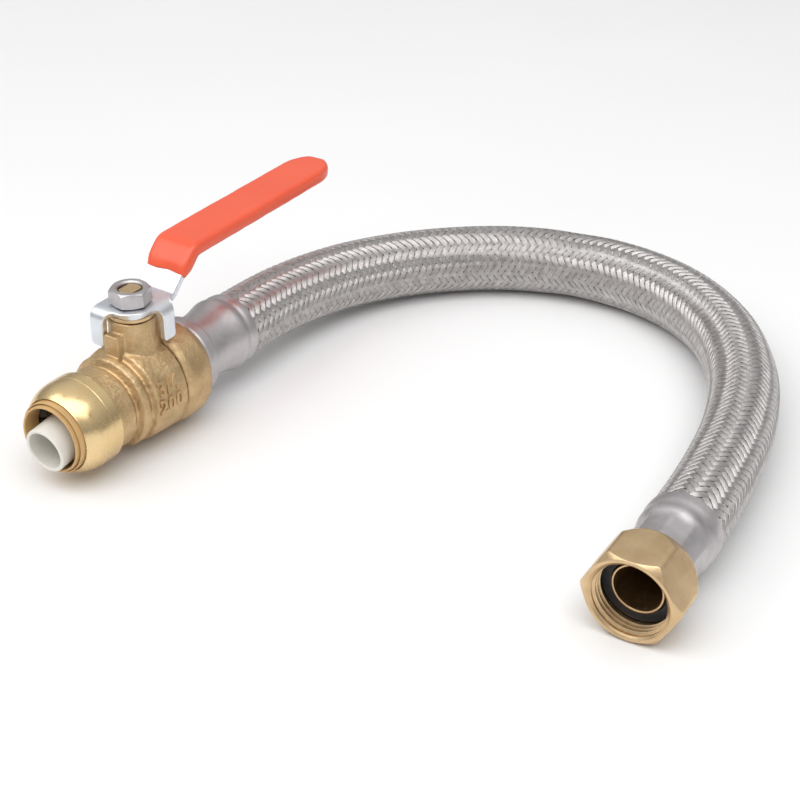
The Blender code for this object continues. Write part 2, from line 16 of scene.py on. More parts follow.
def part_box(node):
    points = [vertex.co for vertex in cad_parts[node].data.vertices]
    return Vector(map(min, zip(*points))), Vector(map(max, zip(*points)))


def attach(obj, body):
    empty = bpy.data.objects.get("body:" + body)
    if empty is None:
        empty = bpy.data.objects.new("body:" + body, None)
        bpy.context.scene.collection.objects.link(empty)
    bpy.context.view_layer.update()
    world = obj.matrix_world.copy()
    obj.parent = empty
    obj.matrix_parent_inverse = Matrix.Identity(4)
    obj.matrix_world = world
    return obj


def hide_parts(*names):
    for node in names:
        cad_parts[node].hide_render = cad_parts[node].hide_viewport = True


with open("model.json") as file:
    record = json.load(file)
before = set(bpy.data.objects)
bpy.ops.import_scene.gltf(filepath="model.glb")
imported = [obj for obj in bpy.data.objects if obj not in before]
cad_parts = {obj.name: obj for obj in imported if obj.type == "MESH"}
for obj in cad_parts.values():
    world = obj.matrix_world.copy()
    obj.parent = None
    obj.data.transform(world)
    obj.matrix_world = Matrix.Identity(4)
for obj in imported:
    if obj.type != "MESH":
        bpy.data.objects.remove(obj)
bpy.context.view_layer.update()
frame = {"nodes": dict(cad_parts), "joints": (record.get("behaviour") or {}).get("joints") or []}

MM = 0.001
SCENE = bpy.context.scene
TURN = 2 * math.pi
ROUND = np.linspace(0, TURN, 161)

# Valve: stations along its axis, radii, and heights above the floor for the stem
MOUTH = -18.3
COLLAR_R = 17.2
COLLAR_REAR = 1.0
COLLAR_LIP = -14.6
DOME_START = -3.0
SCRIBED_LINE = -3.6
BARREL_R = 19.9
BODY_END = 34.2
SPIGOT_END = 38.5
CAP_END = 51.0
BOSS_R = 8.9
BOSS_TOP = 49.1
STEM_R = 4.3
STEM_TIP_R = 4.1
STEM_FLAT = 2.9
STEM_FOOT = 34.6
STEM_TOP = 59.3
STEM_STATION = 27.9
AXIS_Z = 19.9
LINER_OUT = 3.85  # the loose liner lies tipped in the mouth, slid out this far
LINER_DROOP = math.radians(6.96)
LINER_PIVOT = 8.0

# Lever, measured from the stem
PLATE = 2.5
PLATE_TOP = 53.8
PLATE_MIDDLE = PLATE_TOP - PLATE / 2
EAR_OUT = 11.9
EAR_BEND = 4.4
EAR_ROOT = EAR_OUT - EAR_BEND
EAR_CORNER = 1.6
ARCH = 9.0  # the front edge between the ears, before bending
EAR_NEAR = 3.45
EAR_FAR = 9.4
EAR_BOTTOM = 39.7
EAR_FADE = 2.2  # the right ear's bend fades out over this length
EAR_FADE_END = 11.6
SHOULDER = 12.6  # the plate narrows to the arm here
FOLD_Y = 13.8
LEG_ANGLE = math.radians(45)
ARM_RISE = math.radians(1.1)
FOLD_R = 2.6
KNEE_R = 5.0
KNEE_Z = 65.7
GRIP_TIP_Y = 113.8
ARM_W = 16.4
GRIP_W = 18.6
GRIP_T = 5.7
TIP_LENGTH = 12.0
TIP_ROUND = 2.15
DIP_Z = 58.6
NUT_AF = 13.6
NUT_H = 5.8
NUT_TURN = math.radians(47)

# Hose
HOSE_LENGTH = 399.6
HOSE_R = 13.2
CORE_R = 12.32
CORE_BORE_R = 11.7
INNER_R = 11.4
INNER_BORE_R = 8.8
CARRIERS = 18  # in each direction
GROUPS = 3  # pieces that the carriers of one direction are joined into
LAY = 60.0  # length of hose for one turn of a carrier
WIRES = 6
WIRE = 0.39
WEAVE = 0.2  # how far a carrier rises and dips
BRAID_TUCK = 3.0  # how far the braid runs into each ferrule
OVAL = (10, 70, 330, 390)  # bending shows fully between the middle two places, and not beyond the outer two
BEND_LIFT = 0.4
KINK_PLACE = 170.0  # a soft kink in the middle of the hose's curve
KINK_WIDTH = 9.0

# Route of the hose's centre line, as X, valve station and height, repeated from the part in metres
ROUTE = [
    (0.0, 0.0815, 0.0199),
    (0.0007, 0.1179, 0.0184),
    (0.0083, 0.1534, 0.0156),
    (0.0269, 0.1842, 0.0140),
    (0.0549, 0.2068, 0.0136),
    (0.0893, 0.2172, 0.0136),
    (0.1249, 0.2127, 0.0136),
    (0.1554, 0.1937, 0.0136),
    (0.1776, 0.1643, 0.0140),
    (0.1914, 0.1313, 0.0150),
    (0.1996, 0.0971, 0.0163),
    (0.2048, 0.0593, 0.0173),
]

# Nut end, measured from the nut's face back along the hose
NUT_FACE_AF = 30.4
NUT_LEN = 18.8
FERRULE_LEN = 43.8
FLATS = 10  # pressed round the ferrule
GASKET_FACE = 8.2
THREAD_PITCH = 1.814
THREAD_CREST = 12.2
THREAD_ROOT = 13.2
THREAD_START = 0.7
THREAD_END = 7.6

# The photograph's view, fitted to the collar, barrel, nut and hose
CAMERA_PLACE = (0.39334, -0.4468, 0.34321)
CAMERA_HEADING = (-0.5580, 0.8298, 0)
CAMERA_PITCH = math.radians(30.374)
CAMERA_LENS = 79.94


# Frames, in millimetres: turned pieces have their axis along local Z


def joint(name):
    return next(j for j in frame["joints"] if j["name"] == name)


def valve_frame():
    """Local Z along the valve's axis towards the hose, so that local Z is the station."""
    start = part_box("collar")[1].y / MM - COLLAR_REAR
    height = joint("liner_spin")["pos_m"][2] / MM
    return Matrix.Translation((0, start, height)) @ Matrix.Rotation(math.radians(-90), 4, "X")


def stem_frame():
    x, y, _ = joint("lever_turn")["pos_m"]
    return Matrix.Translation((x / MM, y / MM, 0))


def nut_frame():
    """Local Z from the swivel nut's face back along its axis to the hose."""
    spin = joint("swivel_nut_spin")
    back = -Vector(spin["axis"])
    side = Vector((0, 0, 1)).cross(back).normalized()
    turn = Matrix((side, back.cross(side), back)).transposed().to_4x4()
    return Matrix.Translation(Vector(spin["pos_m"]) / MM) @ turn


VALVE = valve_frame()
STEM = stem_frame()
NUT = nut_frame()


# Materials

MATERIALS = {}
ALONG_VALVE = (0.04, 1, 0.04)  # stretches grain round the valve's axis into turning lines

# Sockets of a Mix node that mixes colours: it has a pair of inputs and an output for each data type
MIX_SHARE = 0
MIX_COLOURS = (6, 7)
MIX_RESULT = 2


def node(tree, kind, settings=(), links=()):
    made = tree.nodes.new("ShaderNode" + kind)
    for name, value in dict(settings).items():
        made.inputs[name].default_value = value
    for name, source in dict(links).items():
        tree.links.new(source, made.inputs[name])
    return made


def grain(tree, scale, detail, stretch=(1, 1, 1)):
    """Noise fixed to the piece. The scale counts features per metre."""
    where = node(tree, "TexCoord").outputs["Object"]
    place = node(tree, "Mapping", {"Scale": stretch}, {"Vector": where})
    settings = {"Scale": scale, "Detail": detail}
    return node(tree, "TexNoise", settings, {"Vector": place.outputs["Vector"]}).outputs["Fac"]


def spread(tree, value, low, high, start=0.35, end=0.65):
    settings = {"From Min": start, "From Max": end, "To Min": low, "To Max": high}
    return node(tree, "MapRange", settings, {"Value": value}).outputs["Result"]


def mix(tree, share, *colours):
    """The first colour where the share is 0 and the second where it is 1. Either may be a node's output."""
    made = tree.nodes.new("ShaderNodeMix")
    made.data_type = "RGBA"
    tree.links.new(share, made.inputs[MIX_SHARE])
    for place, colour in zip(MIX_COLOURS, colours):
        if isinstance(colour, tuple):
            made.inputs[place].default_value = (*colour, 1)
        else:
            tree.links.new(colour, made.inputs[place])
    return made.outputs[MIX_RESULT]


def material(name, first, second, rough, patch, relief, metallic=1.0, **sockets):
    """A surface whose colour drifts between two tones in patches, with uneven roughness and fine relief.
    Patch counts the patches per metre. Relief lists (features per metre, height in millimetres), with a
    stretch where the features are drawn out."""
    made = bpy.data.materials.new(name)
    made.use_nodes = True
    tree = made.node_tree
    shader = tree.nodes["Principled BSDF"]
    shader.inputs["Metallic"].default_value = metallic
    for socket, value in sockets.items():
        shader.inputs[socket.replace("_", " ")].default_value = value
    colour = mix(tree, spread(tree, grain(tree, patch, 4), 0, 1), first, second)
    tree.links.new(colour, shader.inputs["Base Color"])
    tree.links.new(spread(tree, grain(tree, patch * 5, 4), *rough), shader.inputs["Roughness"])
    links = {}
    for scale, height, *stretch in relief:
        links["Height"] = grain(tree, scale, 2, *stretch)
        bump = node(tree, "Bump", {"Strength": 1.0, "Distance": height * MM}, links)
        links["Normal"] = bump.outputs["Normal"]
    tree.links.new(links["Normal"], shader.inputs["Normal"])
    MATERIALS[name] = made
    return made


def make_brasses():
    material(
        "collar_brass", (0.82, 0.62, 0.335), (0.76, 0.56, 0.29),
        rough=(0.22, 0.30), patch=90, relief=[(1600, 0.004, ALONG_VALVE), (300, 0.008)],
    )
    material(
        "cast_brass", (0.68, 0.495, 0.28), (0.54, 0.385, 0.205),
        rough=(0.40, 0.58), patch=160, relief=[(2400, 0.16), (900, 0.14)],
    )
    material(
        "machined_brass", (0.72, 0.525, 0.31), (0.63, 0.45, 0.255),
        rough=(0.30, 0.44), patch=130, relief=[(1300, 0.012), (350, 0.03)],
    )


def make_steels():
    material(
        "chrome", (0.80, 0.80, 0.81), (0.70, 0.70, 0.71),
        rough=(0.06, 0.12), patch=100, relief=[(900, 0.004)],
    )
    material(
        "stainless", (0.59, 0.565, 0.57), (0.50, 0.475, 0.48),
        rough=(0.40, 0.52), patch=110, relief=[(1500, 0.006), (220, 0.04)],
    )
    # Painted shade: stainless darkened for the grab ring, which sits in shade deep inside the mouth
    material(
        "shaded_stainless", (0.17, 0.155, 0.14), (0.12, 0.11, 0.10),
        rough=(0.40, 0.55), patch=160, relief=[(1500, 0.006)],
    )
    material(
        "braid", (0.60, 0.58, 0.57), (0.45, 0.43, 0.42),
        rough=(0.28, 0.40), patch=420, relief=[(2500, 0.006)],
    )
    material(
        "zinc", (0.80, 0.825, 0.86), (0.72, 0.75, 0.79),
        rough=(0.32, 0.44), patch=90, relief=[(1200, 0.004), (260, 0.02)],
    )


def make_plastics():
    material(
        "vinyl", (0.84, 0.105, 0.040), (0.80, 0.095, 0.035),
        rough=(0.32, 0.40), patch=40, relief=[(900, 0.003), (220, 0.03)],
        metallic=0.0, Coat_Weight=0.25, Coat_Roughness=0.2,
    )
    material(
        "tan_plastic", (0.63, 0.40, 0.17), (0.55, 0.34, 0.14),
        rough=(0.34, 0.46), patch=120, relief=[(2200, 0.012)], metallic=0.0,
    )
    material(
        "white_plastic", (0.80, 0.775, 0.71), (0.74, 0.715, 0.65),
        rough=(0.30, 0.42), patch=150, relief=[(2000, 0.010)], metallic=0.0,
    )
    material(
        "ptfe", (0.85, 0.85, 0.83), (0.78, 0.78, 0.76),
        rough=(0.42, 0.55), patch=150, relief=[(2000, 0.01)], metallic=0.0,
    )


def make_rubber_and_shade():
    material(
        "rubber", (0.020, 0.022, 0.025), (0.035, 0.036, 0.040),
        rough=(0.42, 0.60), patch=200, relief=[(2600, 0.02)], metallic=0.0,
    )
    # Painted shade: a near-black surface that stands for the shade between the braid's wires
    material(
        "wire_shadow", (0.015, 0.013, 0.012), (0.03, 0.027, 0.025),
        rough=(0.6, 0.8), patch=500, relief=[(2600, 0.02)], metallic=0.0,
    )


# Mesh makers


def add(name, mesh, body, slot, *nodes, finish=None):
    """Puts a mesh made in millimetres into the frame as a piece that rides on a body and stands for CAD
    nodes. It gets the slot's material unless a finish names another one."""
    mesh.transform(Matrix.Scale(MM, 4))
    mesh.name = name
    mesh.materials.clear()
    mesh.materials.append(MATERIALS[finish or slot])
    obj = bpy.data.objects.new(name, mesh)
    SCENE.collection.objects.link(obj)
    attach(obj, body)
    if nodes:
        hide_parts(*nodes)
    return obj


def shade(mesh, sharp=35):
    """Smooth shading, with edges sharp where the faces turn by more than that many degrees."""
    mesh.shade_smooth()
    mesh.set_sharp_from_angle(angle=math.radians(sharp))


def as_mesh(points, faces, sharp=35):
    """A closed mesh, with equal points merged and its normals turned outwards."""
    mesh = bpy.data.meshes.new("piece")
    mesh.from_pydata(points.reshape(-1, 3).tolist(), [], faces.tolist())
    work = bmesh.new()
    work.from_mesh(mesh)
    bmesh.ops.remove_doubles(work, verts=work.verts, dist=1e-4)
    bmesh.ops.recalc_face_normals(work, faces=work.faces)
    work.to_mesh(mesh)
    work.free()
    shade(mesh, sharp)
    return mesh


def loop_faces(rings, count):
    """Quads that join each ring of points to the next."""
    index = np.arange(rings * count).reshape(rings, count)
    here, there = index[:-1], index[1:]
    return np.stack([here, there, np.roll(there, -1, 1), np.roll(here, -1, 1)], -1).reshape(-1, 4)


def closed_tube(rings):
    """The rings with one more at each end that is drawn in to a point, so that they close."""
    first, last = (ring.mean(1, keepdims=True).repeat(rings.shape[1], 1) for ring in (rings[:1], rings[-1:]))
    return np.concatenate([first, rings, last])


def lathe(section, turns=ROUND, sharp=35):
    """A solid round local Z. The section gives the loop of (radius, station) points at an angle."""
    loops = np.array([section(turn) for turn in turns])
    turn = np.asarray(turns)[:, None]
    points = np.stack([loops[..., 0] * np.cos(turn), loops[..., 0] * np.sin(turn), loops[..., 1]], -1)
    return as_mesh(points, loop_faces(*points.shape[:2]), sharp)


def softened(corners, steps=4, closed=True):
    """An outline with each (x, y, reach) corner turned into a short curve that starts reach before it."""
    places = [Vector(corner[:2]) for corner in corners]
    found = []
    for index, (corner, place) in enumerate(zip(corners, places)):
        reach = corner[2] if len(corner) > 2 else 0
        if not reach or (not closed and index in (0, len(places) - 1)):
            found.append(tuple(place))
            continue
        before = places[index - 1] - place
        after = places[(index + 1) % len(places)] - place
        start = place + before.normalized() * min(reach, before.length * 0.48)
        end = place + after.normalized() * min(reach, after.length * 0.48)
        for step in range(steps + 1):
            t = step / steps
            found.append(tuple(start * (1 - t) ** 2 + place * 2 * t * (1 - t) + end * t**2))
    return found


def filled(outline, longest):
    """The closed outline with points added so that no edge is longer than that."""
    found = []
    for start, end in zip(outline, outline[1:] + outline[:1]):
        count = max(1, math.ceil(math.dist(start, end) / longest))
        for step in range(count):
            t = step / count
            found.append((start[0] * (1 - t) + end[0] * t, start[1] * (1 - t) + end[1] * t))
    return found


def turned(corners, longest):
    outline = np.array(filled(softened(corners), longest))
    return lathe(lambda turn: outline)


def placed(mesh, matrix):
    mesh.transform(matrix)
    return mesh


def roughened(mesh, height, size, seed=0.0):
    """The mesh with each point moved along its normal by smooth noise."""
    normals = [vertex.normal.copy() for vertex in mesh.vertices]
    shift = Vector((seed, seed * 1.7, -seed))
    for vertex, normal in zip(mesh.vertices, normals):
        amount = noise.fractal(vertex.co / size + shift, 1.0, 2.0, 3)
        vertex.co += normal * amount * height
    return mesh


def evaluated(obj):
    bpy.context.view_layer.update()
    graph = bpy.context.evaluated_depsgraph_get()
    return bpy.data.meshes.new_from_object(obj.evaluated_get(graph))


def with_modifiers(mesh, *steps):
    """The mesh after modifiers, each given as (type, settings). A mesh among settings becomes an object."""
    helpers = []

    def helper(data):
        obj = bpy.data.objects.new("helper", data)
        SCENE.collection.objects.link(obj)
        helpers.append(obj)
        return obj

    host = helper(mesh)
    for kind, settings in steps:
        modifier = host.modifiers.new(kind, kind)
        for name, value in settings.items():
            setattr(modifier, name, helper(value) if isinstance(value, bpy.types.Mesh) else value)
    made = evaluated(host)
    for obj in helpers:
        bpy.data.objects.remove(obj, do_unlink=True)
    return made


def joined(mesh, other):
    return with_modifiers(mesh, ("BOOLEAN", {"operation": "UNION", "object": other}))


def cut(mesh, other):
    return with_modifiers(mesh, ("BOOLEAN", {"operation": "DIFFERENCE", "object": other}))


def block(low, high):
    """A box between two corners, for joining and cutting."""
    work = bmesh.new()
    bmesh.ops.create_cube(work, size=1)
    bmesh.ops.scale(work, vec=[b - a for a, b in zip(low, high)], verts=work.verts)
    bmesh.ops.translate(work, vec=[(a + b) / 2 for a, b in zip(low, high)], verts=work.verts)
    mesh = bpy.data.meshes.new("block")
    work.to_mesh(mesh)
    work.free()
    return mesh


# Hexagons: both nuts share one way of making their outside


def hexagon_radius(turn, across_flats, round_off):
    """Distance to a hexagon with rounded corners, one of them on local X."""
    from_corner = abs((math.degrees(turn) + 30) % 60 - 30)
    phi = math.radians(from_corner)
    centre = (across_flats / 2 - round_off) / math.cos(math.radians(30))
    tangent = math.atan2(round_off * 0.5, centre + round_off * math.cos(math.radians(30)))
    if phi < tangent:
        return centre * math.cos(phi) + math.sqrt(round_off**2 - (centre * math.sin(phi)) ** 2)
    return across_flats / 2 / math.cos(math.radians(30) - phi)


def hexagon_angles():
    """Angles all round, closer together at the corners."""
    half = np.concatenate([np.linspace(0, 6, 9)[1:], np.linspace(6, 30, 14)[1:]])
    side = np.concatenate([[0], half, 60 - half[::-1][1:]])
    return np.radians(np.concatenate([side + 60 * k for k in range(6)] + [[360]]))


def hexagon_outside(turn, across_flats, length, round_off, front, rear):
    """Outer half of a nut's section, from the rear face's edge to the front face's edge. Front and rear
    say how far the chamfers run along the nut for each millimetre they cut in from its corners."""
    edge = across_flats / 2 - 0.15
    radius = hexagon_radius(turn, across_flats, round_off)
    over = max(0.0, radius - edge)
    corners = [
        (edge - 1.0, length, 0),
        (edge, length, 0.15),
        (radius, length - 0.12 - over * rear, 0.4),
        (radius, 0.12 + over * front, 0.25),
        (edge, 0, 0.15),
        (edge - 1.0, 0, 0),
    ]
    return softened(corners, 3, closed=False)


# Braided hose


def hose_line(step=0.5, beyond=0.0):
    """Places, directions and side vectors at equal steps along the hose, in millimetres. The line is the
    part's own smooth curve through the route, carried straight on beyond both ends."""
    spare = 9
    per_span = 60
    start = VALVE.translation.y
    knots = [Vector((x / MM, y / MM + start, z / MM)) for x, y, z in ROUTE]
    back = NUT.to_3x3() @ Vector((0, 0, 1))
    first = Vector((0, 1, 0)) * (knots[1] - knots[0]).length
    last = back * (knots[-1] - knots[-2]).length
    around = [knots[1] - first * 2] + knots + [knots[-2] - last * 2]
    dense = []
    for before, here, there, after in zip(around, around[1:], around[2:], around[3:]):
        for index in range(per_span):
            t = index / per_span
            pull = (there - before) * (t - 2 * t**2 + t**3) + (after - here) * (t**3 - t**2)
            dense.append(here * (1 - 3 * t**2 + 2 * t**3) + there * (3 * t**2 - 2 * t**3) + pull * 0.5)
    dense.append(knots[-1])
    line = np.array([knots[0] - Vector((0, spare, 0))] + dense + [knots[-1] - back * spare])
    gone = np.concatenate([[0], np.cumsum(np.linalg.norm(np.diff(line, axis=0), axis=1))]) - spare
    whole = gone[-1] - spare
    at = np.linspace(-beyond, whole + beyond, round((whole + 2 * beyond) / step) + 1)
    places = np.stack([np.interp(at, gone, line[:, axis]) for axis in range(3)], -1)
    ahead = np.gradient(places, axis=0)
    ahead /= np.linalg.norm(ahead, axis=1)[:, None]
    side = np.cross(ahead, (0, 0, 1))
    side /= np.linalg.norm(side, axis=1)[:, None]
    return at, places, side, np.cross(side, ahead)


LINE = hose_line(beyond=4.0)


def on_hose(along, angle, radius):
    """Points of the hose's surface. The angle runs from the top towards the inside of the curve. Bending
    leaves the hose a little taller than it is wide."""
    at, places, side, up = LINE
    bent = np.interp(along, OVAL, [0, 1, 1, 0])
    kink = np.exp(-(((along - KINK_PLACE) / KINK_WIDTH) ** 2))
    wide = 1 - 0.01 * bent + 0.03 * kink
    tall = 1 + 0.035 * bent - 0.04 * kink
    spot = [np.interp(along, at, places[:, axis]) for axis in range(3)]
    found = []
    for axis in range(3):
        across = np.interp(along, at, side[:, axis]) * np.sin(angle) * wide
        rise = np.interp(along, at, up[:, axis]) * np.cos(angle) * tall
        lift = BEND_LIFT * bent * np.interp(along, at, up[:, axis])
        found.append(spot[axis] + radius * (across + rise) + lift)
    return np.stack(found, -1)


def bundle_section():
    """A carrier's cross section as (across, height) points: a crowned row of wires with a flat underside."""
    half = WIRES / 2
    wire = ((0, 0), (0.28, 0.30), (0.72, 0.30))
    points = [(index + across, height) for index in range(WIRES) for across, height in wire]
    found = []
    for across, height in [*points, (WIRES, 0)]:
        crown = 0.16 * (1 - (across / half - 1) ** 2)
        found.append(((across - half) * WIRE, -0.02 + height * WIRE + crown))
    under = half * WIRE * 0.96
    return found + [(under, -0.16), (-under, -0.16)]


def carrier(hand, index, rng):
    """One flat bundle of wires that winds round the hose, over two others and under two."""
    crossing = LAY / CARRIERS / 2
    along = np.arange(-BRAID_TUCK, HOSE_LENGTH + BRAID_TUCK + crossing / 4, crossing / 2)
    count = along / crossing
    phase = (2 * index - hand * count + (0 if hand > 0 else 2)) % 4
    quick = 1.6  # how sharply it passes from over to under
    over = np.tanh(quick * np.cos(TURN * (phase - 0.5) / 4)) / math.tanh(quick)
    middle = HOSE_R - WIRE + WEAVE * over
    wander = 0.10 * np.sin(TURN * (along / rng.uniform(35, 60) + rng.random()))
    turn = TURN * index / CARRIERS - hand * TURN * along / LAY + wander / HOSE_R
    slope = TURN * HOSE_R / LAY
    reach = math.hypot(1, slope)
    width = 1 + 0.05 * np.sin(TURN * (along / rng.uniform(12, 25) + rng.random()))
    limit = BRAID_TUCK + 0.4
    loops = []
    for across, height in bundle_section():
        offset = across * width
        angle = turn + offset / reach / HOSE_R
        place = np.clip(along + hand * offset * slope / reach, -limit, HOSE_LENGTH + limit)
        loops.append(on_hose(place, angle, middle + height))
    return closed_tube(np.stack(loops, 1))


def make_braid():
    """The carriers of both directions, joined into a few pieces each."""
    rng = np.random.default_rng(11)
    size = CARRIERS // GROUPS
    pieces = []
    for hand, side in ((1, "right"), (-1, "left")):
        for group in range(GROUPS):
            points, faces, used = [], [], 0
            for index in range(group * size, (group + 1) * size):
                rings = carrier(hand, index, rng)
                faces.append(loop_faces(*rings.shape[:2]) + used)
                points.append(rings.reshape(-1, 3))
                used += len(points[-1])
            mesh = as_mesh(np.concatenate(points), np.concatenate(faces), 60)
            pieces.append(add(f"braid_{side}_{group + 1}", mesh, "valve", "braid", "hose_braid"))
    return pieces


def hose_tube(outer, inner):
    """A hollow tube along the hose, between two radii."""
    along = np.linspace(0, HOSE_LENGTH, 320)
    loops = []
    for radius in (outer, inner):
        loops.append([on_hose(along, angle, radius) for angle in ROUND[:-1:2]])
    skin, bore = (np.array(loop).transpose(1, 0, 2) for loop in loops)
    shell = np.concatenate([skin, bore[::-1], skin[:1]])
    return as_mesh(shell, loop_faces(*shell.shape[:2]))


def make_hose(with_pieces):
    """A dark tube of painted shade that closes the braid's gaps, the rubber hose inside it, the braid and
    the cord itself.
    """
    dark = hose_tube(CORE_R, CORE_BORE_R)
    # The dark tube is painted shade: a near-black sheet under the braid that stands for the shade between
    # its wires
    core = add("braid_gap_shade", dark, "valve", "rubber", "hose_braid", finish="wire_shadow")
    inner = add("inner_hose", hose_tube(INNER_R, INNER_BORE_R), "valve", "rubber", "hose_liner")
    _, places, _, _ = hose_line(step=5.0)
    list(make_braid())


def make_valve_ferrule():
    corners = [
        (13.45, 81.7, 0.12),
        (13.95, 81.5, 0.3),
        (14.2, 79.0, 0.9),
        (13.6, 77.3, 0.8),
        (14.7, 74.6, 1.2),
        (14.2, 72.2, 1.6),
        (13.3, 68.4, 2.2),
        (12.9, 65.0, 1.5),
        (12.9, 57.2, 0.4),
        (15.2, 56.8, 0.9),
        (15.4, CAP_END + 0.3, 1.4),
        (10.6, CAP_END + 0.3, 0.1),
        (10.6, 58.2, 0.1),
        (9.8, 58.6, 0.1),
        (9.8, 77.4, 0.1),
        (13.3, 77.6, 0.1),
    ]
    mesh = roughened(placed(turned(corners, 0.8), VALVE), height=0.05, size=9)
    add("visual_ferrule_valve_end", mesh, "valve", "stainless", "ferrule_valve_end")


# Nut end


def make_nut_ferrule():
    lip = FERRULE_LEN
    corners = [
        (13.4, lip + 0.2, 0.12),
        (13.7, lip - 0.1, 0.3),
        (13.8, lip - 3.2, 1.0),
        (13.35, lip - 5.6, 1.0),
        (13.6, lip - 8.6, 1.2),
        (12.5, lip - 11.4, 1.4),
        (12.1, NUT_LEN + 0.6, 0.4),
        (9.9, NUT_LEN + 0.6, 0.1),
        (9.9, lip - 4.4, 0.1),
        (13.3, lip - 4.2, 0.1),
    ]
    outline = np.array(filled(softened(corners), 0.7))
    flat_depth = 12.3 * 0.6
    flats_from, flats_to = 20.5, 33.5
    dent_depth, dent_station, dent_turn = 0.55, 37.0, 2.45

    def pressed(turn):
        """Faint flats pressed into the sleeve behind the nut, and a dent in its swelling."""
        station = outline[:, 1]
        flats = np.clip((station - flats_from) / 2, 0, 1) * np.clip((flats_to - station) / 2, 0, 1)
        side = TURN / FLATS
        ridge = 1 / math.cos((turn + 0.3) % side - side / 2) - 1.017
        dent = np.exp(-(((station - dent_station) / 2.6) ** 2))
        dent *= math.exp(-((math.sin((turn - dent_turn) / 2) * 5) ** 2))
        outside = outline[:, 0] > 11.9
        radius = outline[:, 0] + outside * (flat_depth * ridge * flats - dent_depth * dent)
        return np.stack([radius, station], -1)

    mesh = roughened(placed(lathe(pressed), NUT), height=0.06, size=8, seed=3)
    return add("visual_ferrule_nut_end", mesh, "valve", "stainless", "ferrule_nut_end")


def make_tailpiece():
    inside = FERRULE_LEN - 0.4
    corners = [
        (9.5, inside, 0.1),
        (9.5, 15.0, 0.1),
        (11.9, 15.0, 0.2),
        (11.9, GASKET_FACE + 3.1, 0.2),
        (9.0, GASKET_FACE + 3.1, 0.1),
        (9.0, GASKET_FACE - 1.0, 0.3),
        (8.2, GASKET_FACE - 1.0, 0.3),
        (8.2, inside, 0.1),
    ]
    return add("visual_tailpiece", placed(turned(corners, 0.8), NUT), "valve", "machined_brass", "tailpiece")


def make_gasket():
    corners = [
        (12.9, GASKET_FACE + 2.8, 0.4),
        (12.9, GASKET_FACE, 0.5),
        (9.3, GASKET_FACE, 0.4),
        (9.3, GASKET_FACE + 2.8, 0.2),
    ]
    washer = roughened(turned(corners, 0.5), height=0.05, size=3)
    return add("visual_gasket", placed(washer, NUT), "valve", "rubber", "gasket")


def thread(turn):
    """The thread's (radius, station) points at one angle, from the nut's mouth inwards."""
    found = []
    for count in range(-1, 5):
        start = (count + turn / TURN) * THREAD_PITCH
        for share, high in ((0.0, 0), (0.12, 0), (0.44, 1), (0.58, 1), (0.90, 0)):
            station = min(max(start + share * THREAD_PITCH, THREAD_START), THREAD_END)
            fade = min(1.0, (station - THREAD_START) / 1.2) * min(1.0, (THREAD_END - station) / 0.8)
            found.append((THREAD_ROOT - (THREAD_ROOT - THREAD_CREST) * high * fade, station))
    return found


def make_swivel_nut():
    shoulder = 15.3
    hole = 10.6

    def section(turn):
        outside = hexagon_outside(turn, NUT_FACE_AF, NUT_LEN, round_off=2.4, front=0.9, rear=2.2)
        bevel = [(14.0, 0.0, 0.15), (13.3, THREAD_START - 0.05, 0.1)]
        rim = softened([(14.4, 0, 0), *bevel, (THREAD_ROOT, THREAD_START, 0)], 2, closed=False)
        relief = [(THREAD_ROOT, THREAD_END + 0.2, 0), (THREAD_ROOT, shoulder, 0.3), (hole, shoulder, 0.2)]
        back = softened([*relief, (hole, NUT_LEN, 0.3), (hole + 1.0, NUT_LEN, 0)], 3, closed=False)
        return np.array(outside + rim + thread(turn) + back)

    mesh = roughened(lathe(section, hexagon_angles(), 30), height=0.025, size=2.5)
    return add("visual_swivel_nut", placed(mesh, NUT), "swivel_nut", "machined_brass", "swivel_nut")


# Push-to-connect mouth


def make_collar():
    """A dome rolled in to a lip, with a fine line scribed round it near the dome's start."""
    at_line = [DOME_START, -3.35, *np.linspace(-3.45, -3.75, 7), -3.9]
    dome = []
    for station in [*at_line, *np.linspace(-4.4, COLLAR_LIP, 26)]:
        scribed = 0.09 * math.exp(-(((station - SCRIBED_LINE) / 0.1) ** 2))
        drop = 3.0 * ((station - DOME_START) / (COLLAR_LIP - DOME_START)) ** 3.2
        dome.append((COLLAR_R - drop - scribed, station, 0))
    lip = [(14.0, COLLAR_LIP - 0.35, 0.3), (13.75, COLLAR_LIP, 0.1), (13.75, COLLAR_LIP + 1.0, 0.1)]
    inside = [(14.6, -13.3, 0.2), (14.9, -12.4, 0.4), (15.9, -10.0, 0.5), (16.25, -6.0, 0.3)]
    rear = [(16.25, COLLAR_REAR, 0.1), (COLLAR_R - 0.05, COLLAR_REAR, 0.35), (COLLAR_R, 0.0, 0)]
    mesh = placed(turned(rear + dome + lip + inside, 0.6), VALVE)
    add("visual_collar", mesh, "valve", "collar_brass", "collar")


def make_release_ring():
    corners = [
        (12.4, -12.0, 0.1),
        (14.2, -12.2, 0.1),
        (14.2, -13.0, 0.2),
        (13.5, -13.4, 0.1),
        (13.5, -16.9, 0.2),
        (13.05, -16.95, 0.1),
        (12.95, -16.0, 0.05),
        (12.6, -16.0, 0.05),
        (12.6, MOUTH, 0.3),
        (11.75, MOUTH, 0.4),
        (11.7, -11.3, 0.1),
        (12.2, -11.4, 0.1),
    ]
    ring = placed(turned(corners, 0.5), VALVE)
    add("visual_release_ring", ring, "release_ring", "tan_plastic", "release_ring")


